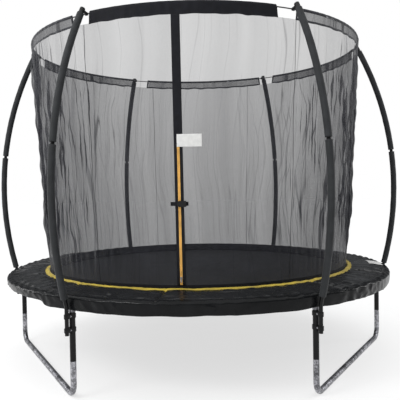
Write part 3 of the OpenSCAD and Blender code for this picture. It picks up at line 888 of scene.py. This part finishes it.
def seam_dip(a):
    """Depth, from 0 to 1, of the sewn radial seams between the pad's sections."""
    total = np.zeros_like(a)
    for seam in PAD_SEAMS:
        total = np.maximum(total, np.exp(-(away_from(a, seam) / 0.006) ** 2))
    return total


def pad_relief(a, r):
    """Height of the vinyl's creases: folds out to the rim, folds along it, and dents. The label lies flat."""
    pleats = np.abs(circular(a, r * 10, seed=41, count=7, turns=(20, 52), slant=0.4)) ** 0.6
    dents = circular(a, r * 10, seed=42, count=12, turns=(12, 60), slant=5.0)
    along = np.abs(circular(a, r * 10, seed=45, count=8, turns=(2, 9), slant=12.0)) ** 0.6
    label_a, label_r = math.radians(-5.5), 1.447
    near_label = -(away_from(a, label_a) / 0.09) ** 4 - ((r - label_r) / 0.07) ** 4
    quiet = 1 - 0.9 * np.exp(near_label)
    pleat_depth = (0.001 + 0.010 * sides(a)) * (0.4 + (r - PAD_IN_R) / PAD_WIDTH)
    return quiet * (0.0010 * dents - pleat_depth * pleats - 0.0045 * along)


def pad_shape(a, r):
    """Height of the pad's upper face as it is sewn, before the cloth settles."""
    puff, seam_depth = 0.004, 0.011
    edge = np.sin(np.pi * np.clip((r - PAD_IN_R) / PAD_WIDTH, 0, 1))
    fade = np.clip(edge * 3, 0, 1)
    return pad_top(r) + puff * edge ** 0.5 + (pad_relief(a, r) - seam_depth * seam_dip(a)) * fade


def pad_surface(heights, a, r):
    """Height of the finished pad's upper face at angles a and radii r, from the heights of its grid."""
    a, r = np.broadcast_arrays(a, r)
    steps, rows = heights.shape
    i = (a / TAU % 1) * steps
    j = np.clip((r - PAD_IN_R) / PAD_WIDTH, 0, 1) * (rows - 1)
    i0, j0 = np.floor(i).astype(int), np.minimum(np.floor(j).astype(int), rows - 2)
    fi, fj = i - i0, j - j0
    i0, i1 = i0 % steps, (i0 + 1) % steps
    near = heights[i0, j0] * (1 - fj) + heights[i0, j0 + 1] * fj
    far = heights[i1, j0] * (1 - fj) + heights[i1, j0 + 1] * fj
    return near * (1 - fi) + far * fi


def settle(obj, held, shape):
    """Runs the pad's cover as cloth, a little larger than its foam. Held points stay. Returns its points."""
    group = obj.vertex_groups.new(name="held")
    group.add([int(k) for k in np.nonzero(held.ravel())[0]], 1.0, "REPLACE")
    cloth = obj.modifiers.new("cloth", "CLOTH")
    cloth.collision_settings.use_collision = False
    cloth.point_cache.frame_end = CLOTH_FRAMES
    for key, value in CLOTH_SETTINGS.items():
        setattr(cloth.settings, key, value)
    cloth.settings.effector_weights.gravity = 0
    for step in range(1, CLOTH_FRAMES + 1):
        bpy.context.scene.frame_set(step)
    settled = obj.evaluated_get(bpy.context.evaluated_depsgraph_get()).to_mesh()
    points = np.zeros(len(settled.vertices) * 3)
    settled.vertices.foreach_get("co", points)
    obj.modifiers.clear()
    obj.vertex_groups.clear()
    move = points.reshape(shape.shape) - shape
    # Wrinkles as small as the mesh's own cells are ironed out
    smoothing_rounds = 8
    for _ in range(smoothing_rounds):
        for axis in (0, 1):
            move = (np.roll(move, 1, axis) + 2 * move + np.roll(move, -1, axis)) / 4
    size = np.linalg.norm(move, axis=-1, keepdims=True)
    return shape + move * np.minimum(1, CLOTH_CAP / np.maximum(size, 1e-9))


def add_pad():
    """The pad's vinyl cover over its foam. Returns its upper face's heights, by angle and radius."""
    steps, rows = 1200, 32
    mean_r, cover_w, rim_share = 1.37, 0.65, 0.03
    a = round_angles(steps)
    t = row(0, 1, rows)
    r = PAD_IN_R + PAD_WIDTH * t
    top = pad_shape(a, r)
    under_relief = 0.0012 * circular(a, r * 10, seed=44, count=6, turns=(20, 80), slant=2.0)
    low = pad_top(r) - PAD_T + 0.002 + under_relief
    middle = pad_top(r) - PAD_T / 2
    ends = np.clip(np.minimum(t, 1 - t) / rim_share, 0, 1) ** 0.5
    upper = polar(r, a, middle + (top - middle) * ends)
    lower = polar(r, a, middle + (low - middle) * ends)
    # The lower face is run through backwards, without the two edges that it shares with the upper one
    points = np.concatenate([upper, lower[:, -2:0:-1]], 1)
    pad = surface("safety_pad_vinyl", points, wrap_u=True, wrap_v=True, uv=(TAU * mean_r, cover_w))
    # Only the upper face is free to move, and not at its two edges and its seams
    held = np.ones(points.shape[:2], bool)
    held[:, 4:rows - 2] = False
    held[seam_dip(a[:, 0]) > 0.6] = True
    points = settle(pad, held, points)
    pad.data.vertices.foreach_set("co", points.ravel().astype(np.float32))
    pad.data.update()
    smooth = pad.modifiers.new("smooth", "SUBSURF")
    smooth.levels = smooth.render_levels = 1
    finish_piece(pad, "frame", "pad_vinyl", "safety_pad")
    return points[:, :rows, 2]


def add_skirt(pad_heights):
    """The pad's skirt, folded over the rim and hanging down. Its left section hangs less far."""
    steps, rows = 1800, 34
    rim_r, rim_z, fold_share = 1.500, 0.632, 0.30
    mean_r, thick, bulge = 1.53, 0.0012, 0.010
    a = round_angles(steps)
    t = row(0, 1, rows)
    poles = np.zeros_like(a)
    for k in range(SIDES):
        poles = np.maximum(poles, np.exp(-(away_from(a, k * TAU / SIDES) / 0.05) ** 2))
    left = 1 / (1 + np.exp(-(a - math.radians(176)) / 0.02)) / (1 + np.exp((a - math.radians(231)) / 0.008))
    uneven = circular(a, 0, seed=52, count=6, turns=(8, 40), slant=0.1)
    low_z = SKIRT_LOW_Z + 0.004 + 0.030 * left + 0.003 * uneven
    over = np.clip(t / fold_share, 0, 1) * np.pi / 2
    down = np.clip((t - fold_share) / (1 - fold_share), 0, 1)
    # The folds come in patches and are held flat by the poles
    patch = np.clip(0.55 + 0.5 * circular(a, 0, seed=54, count=7, turns=(5, 30), slant=0.1), 0.1, 1.4)
    folds = patch * circular(a, down * 2.0, seed=51, count=12, turns=(30, 130), slant=1.6)
    sharp = patch * np.abs(circular(a, down * 2.0, seed=53, count=8, turns=(24, 110), slant=2.0)) ** 0.7
    free = np.clip(t * 3, 0, 1) * (1 - 0.6 * poles)
    tuck = 0.006 * down ** 2
    out_r = SKIRT_R - 0.002 + bulge * (1 - poles)
    r = rim_r + (out_r - rim_r) * np.sin(over) - tuck + free * (0.0030 * folds - 0.0035 * sharp)
    start = pad_surface(pad_heights, a, rim_r) + 0.0008
    z = rim_z + (start - rim_z) * np.cos(over) + (low_z - rim_z) * down
    skirt = surface("pad_skirt_vinyl", polar(r, a, z), wrap_u=True, uv=(TAU * mean_r, 0.13))
    thicken(skirt, thick, offset=-1)
    finish_piece(skirt, "frame", "pad_vinyl", "pad_skirt")
    skirt.data.materials[0] = SKIRT_VINYL


def add_trim(pad_heights):
    """The yellow binding round the pad's inner edge, curled up against the net."""
    steps, rows = 1440, 22
    width, thick, lift = 0.034, 0.0018, 0.0022
    a = round_angles(steps)
    t = row(0, 1, rows)
    wave = 0.0016 * circular(a, t * 2, seed=61, count=9, turns=(40, 150), slant=1.0)
    curl = 0.010 + 0.003 * circular(a, 0, seed=62, count=5, turns=(12, 40), slant=0.1)
    r = PAD_IN_R + 0.0005 + width * t
    z = pad_surface(pad_heights, a, r) + lift + curl * (1 - t) ** 2.2 + wave * 0.6 * (1 - t)
    trim = closed_ring("pad_trim_tape", polar(r, a, z), polar(r, a, z - thick), uv=(TAU * 1.24, 0.075))
    finish_piece(trim, "frame", "yellow_binding", "pad_trim")


def add_stitches(pad_heights):
    """The row of stitches in the binding."""
    count, thread, lift = 900, 0.0006, 0.0026
    arch = np.array([-0.0006, 0.0003, -0.0006])
    r = np.full(3, PAD_IN_R + 0.029)
    stitches = []
    for k in range(count):
        a = (k + np.array([0.15, 0.5, 0.85])) / count * TAU
        z = pad_surface(pad_heights, a, r) + lift + arch
        stitches.append(tube_part(polar(r, a, z), thread, sides=5))
    finish_piece(joined("trim_stitches", stitches), "frame", "yellow_binding")


def add_pad_seams(pad_heights):
    """The cord-like sewn ridges where two sections of the pad meet."""
    apart, cord, lift = 0.0075, 0.0011, 0.0004
    r = np.linspace(PAD_IN_R + 0.045, 1.500, 40)
    parts = []
    for seam in PAD_SEAMS:
        for side in (-1, 1):
            a = seam + side * apart / r
            parts.append(tube_part(polar(r, a, pad_surface(pad_heights, a, r) + lift), cord, sides=6))
    finish_piece(joined("pad_seam_piping", parts), "frame", "black_webbing")


def add_pad_label(pad_heights):
    """A plain white label on the pad, by the right-hand pole."""
    a = np.radians(column(-9.5, -1.5, 50))
    r = row(1.395, 1.500, 24)
    lift, thick = 0.0022, 0.0008
    points = polar(r, a, pad_surface(pad_heights, a, r) + lift)
    label = thicken(surface("pad_label_cloth", points, uv=(0.20, 0.105)), thick)
    finish_piece(label, "frame", "white_label", "pad_label")


def add_straps():
    """The elastic straps that hold the pad down on the frame ring: loops whose two ends rise to the pad."""
    tube_r, half_w, thick = 0.0199, 0.010, 0.0014
    end_r, end_z = np.array([0.0030, 0.0034]), np.array([0.6310, 0.6280])
    turn = np.radians(np.linspace(75, -255, 40))
    r = np.concatenate([FRAME_R + end_r, FRAME_R + tube_r * np.cos(turn), FRAME_R - end_r[::-1]])
    z = np.concatenate([end_z, FRAME_Z + tube_r * np.sin(turn), end_z[::-1]])
    outward = np.stack([r - FRAME_R, z - FRAME_Z], -1)
    outward /= np.linalg.norm(outward, axis=1)[:, None]
    corners = []
    for side, depth in ((-1, 0), (1, 0), (1, thick), (-1, thick)):
        y = np.full_like(r, side * half_w)
        corners.append(np.stack([r + outward[:, 0] * depth, y, z + outward[:, 1] * depth], -1))
    points = np.stack(corners, 1)
    faces, uvs = grid_faces(len(r), len(corners), False, True, uv=(0.13, 0.04))
    parts = [(turned(points, math.radians(15 + 30 * k)), faces, uvs) for k in range(2 * SIDES)]
    finish_piece(joined("pad_strap_webs", parts), "frame", "black_webbing", "pad_straps")


# ---- bed

def add_mat():
    """The jumping mat: a thin disc whose middle is closed by a ring of almost no size."""
    steps, rows = 720, 80
    thick, wave_depth, centre = 0.0018, 0.0009, 0.0001
    a = round_angles(steps)
    r = MAT_R * row(centre, 1, rows)
    wave = circular(a, r * 6, seed=71, count=8, turns=(3, 14), slant=2.0)
    top = BED_Z - 0.0008 + wave_depth * wave * np.clip(r / 0.4, 0, 1) * np.clip((MAT_R - r) / 0.1, 0, 1)
    mat = closed_ring("jumping_mat_cloth", polar(r, a, top - thick), polar(r, a, top), uv=(8.0, 2.6))
    finish_piece(mat, "bed", "mat_fabric", "jumping_mat")


def add_border():
    """The mat's webbing border, with its two sewn lines and a pocket over each v-ring."""
    steps, rows = SPRINGS * 20, 26
    half_t, relief, line_w = 0.0024, 0.0006, 0.0012
    a = round_angles(steps)
    r = row(BORDER_IN_R, BORDER_R, rows)
    over_rings = np.clip(np.cos(SPRINGS * (a - TAU / SPRINGS / 2)) * 3 + 1.5, 0, 1)
    pocket = over_rings * np.clip((r - 1.24) / 0.006, 0, 1)
    sewn = np.exp(-((r - 1.206) / line_w) ** 2) + np.exp(-((r - 1.236) / line_w) ** 2)
    ends = np.clip(np.minimum(r - BORDER_IN_R, BORDER_R - r) / 0.002, 0, 1) ** 0.5
    upper = polar(r, a, SPRING_Z + (half_t + relief * pocket - relief * sewn) * ends)
    lower = polar(r, a, SPRING_Z - half_t * ends)
    border = closed_ring("mat_border_web", upper, lower[:, 1:-1], uv=(7.8, 0.18))
    finish_piece(border, "bed", "black_webbing", "mat_border")


def add_v_rings():
    """The wire rings in the mat's edge that the springs hook into: four sides with rounded corners."""
    wire, bend = 0.00175, 0.004
    corners = np.array([(1.278, -0.020, 0), (1.312, -0.006, 0), (1.312, 0.006, 0), (1.278, 0.020, 0)])
    path = []
    for k, corner in enumerate(corners):
        back = corners[k - 1] - corner
        ahead = corners[(k + 1) % 4] - corner
        start = corner + back / np.linalg.norm(back) * bend
        end = corner + ahead / np.linalg.norm(ahead) * bend
        for t in np.linspace(0, 1, 5):
            path.append((1 - t) ** 2 * start + 2 * t * (1 - t) * corner + t ** 2 * end)
    points, faces, uvs = tube_part(np.array(path), wire, sides=8, closed=True)
    parts = [(turned(points, a) + np.array([0, 0, SPRING_Z]), faces, uvs) for a in SPRING_ANGLES]
    finish_piece(joined("v_ring_wires", parts), "bed", "bright_zinc", "v_rings")


def add_springs():
    """A real coil for each spring, hooked to its v-ring and the frame ring."""
    coil_in, coil_out, ring_hook, frame_hook = 1.322, 1.463, 1.312, 1.478
    coil_r, hook_r, knee_r, wire, turns, per_turn = 0.0085, 0.0055, 0.009, 0.0015, 34, 10
    count = turns * per_turn
    s = np.arange(count + 1) / count
    turn = TAU * turns * s
    coil = np.stack([coil_in + (coil_out - coil_in) * s, coil_r * np.cos(turn), coil_r * np.sin(turn)], -1)
    bend = np.radians(np.linspace(250, 0, 12))
    front = np.stack([ring_hook + hook_r * np.cos(bend), 0 * bend, hook_r * np.sin(bend)], -1)
    knee = np.radians(np.linspace(180, 0, 10))
    back = np.stack([frame_hook + knee_r * np.cos(knee), 0 * knee, knee_r * np.sin(knee)], -1)
    peg = [[frame_hook + knee_r, 0, -knee_r]]
    path = np.concatenate([front, [[coil_in - 0.002, 0, 0]], coil, [[coil_out + 0.003, 0, 0]], back, peg])
    points, faces, uvs = tube_part(path, wire, sides=6)
    for k, a in enumerate(SPRING_ANGLES):
        spring_points = turned(points, a) + np.array([0, 0, SPRING_Z])
        spring = mesh_object(f"spring_{k + 1:02d}", spring_points, faces, uvs)
        finish_piece(spring, None, "bright_zinc")
        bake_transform(spring)
        if k == 0:
            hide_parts("springs")


# ---- poles

def foam_part(low, high, seed):
    """Foam along a pole's arc between two angles in degrees: faintly creased, its ends cut, its bore open."""
    steps, around, back_steps = 240, 28, 60
    outer_r, bore_r, round_over, cut = 0.0229, 0.0131, 0.002, 0.0008
    crease_depth, pinch_depth, seam_depth, seam_a = 0.00035, 0.0006, 0.0012, 2.6
    length = math.radians(high - low) * BOW_R
    s = column(0, 1, steps)
    turn = round_angles(around).T
    crease = ripples(s * length, 0.02 * np.cos(turn), seed, count=8, lengths=(0.03, 0.25), slant=1.2)
    pinch = ripples(s * length, 0.03 * np.sin(turn), seed + 20, count=5, lengths=(0.06, 0.4), slant=2.0)
    seam = np.exp(-(away_from(turn, seam_a) / 0.06) ** 2)
    outer = outer_r + crease_depth * crease - pinch_depth * np.abs(pinch) ** 0.6 - seam_depth * seam
    bore = np.full((back_steps, around), bore_r)
    radius = np.concatenate([outer[:1] - round_over, outer, outer[-1:] - round_over, bore])
    trimmed = np.clip(s, cut / length, 1 - cut / length)
    place = np.concatenate([s[:1], trimmed, s[-1:], column(1, 0, back_steps)])
    angle = np.radians(low + (high - low) * place)
    reach = BOW_R + radius * np.cos(turn)
    across = radius * np.sin(turn)
    points = np.stack([reach * np.cos(angle) - BOW_BACK, across, reach * np.sin(angle) + BOW_Z], -1)
    return (points, *grid_faces(len(place), around, True, True, uv=(length, 0.145)))


def add_foam():
    """The two foam sleeves round each pole, which meet at the pole's joint."""
    halves = ((-15.5, 7.0), (7.4, 28.1))
    for k in range(SIDES):
        parts = []
        for number, (low, high) in enumerate(halves):
            points, faces, uvs = foam_part(low, high, seed=90 + 2 * k + number)
            parts.append((turned(points, k * TAU / SIDES), faces, uvs))
        foam = joined(f"pole_foam_{k + 1}", parts)
        finish_piece(foam, "frame", "pole_foam", f"foam_sleeve_{k + 1}")


paint_frame()
add_camera()
add_studio()
add_net()
add_seams()
add_hem()
add_sleeve()
add_door_tape()
add_zip()
add_buckle_strap()
add_net_label()
pad_heights = add_pad()
add_skirt(pad_heights)
add_trim(pad_heights)
add_stitches(pad_heights)
add_pad_seams(pad_heights)
add_pad_label(pad_heights)
add_straps()
add_mat()
add_border()
add_v_rings()
add_springs()
add_foam()
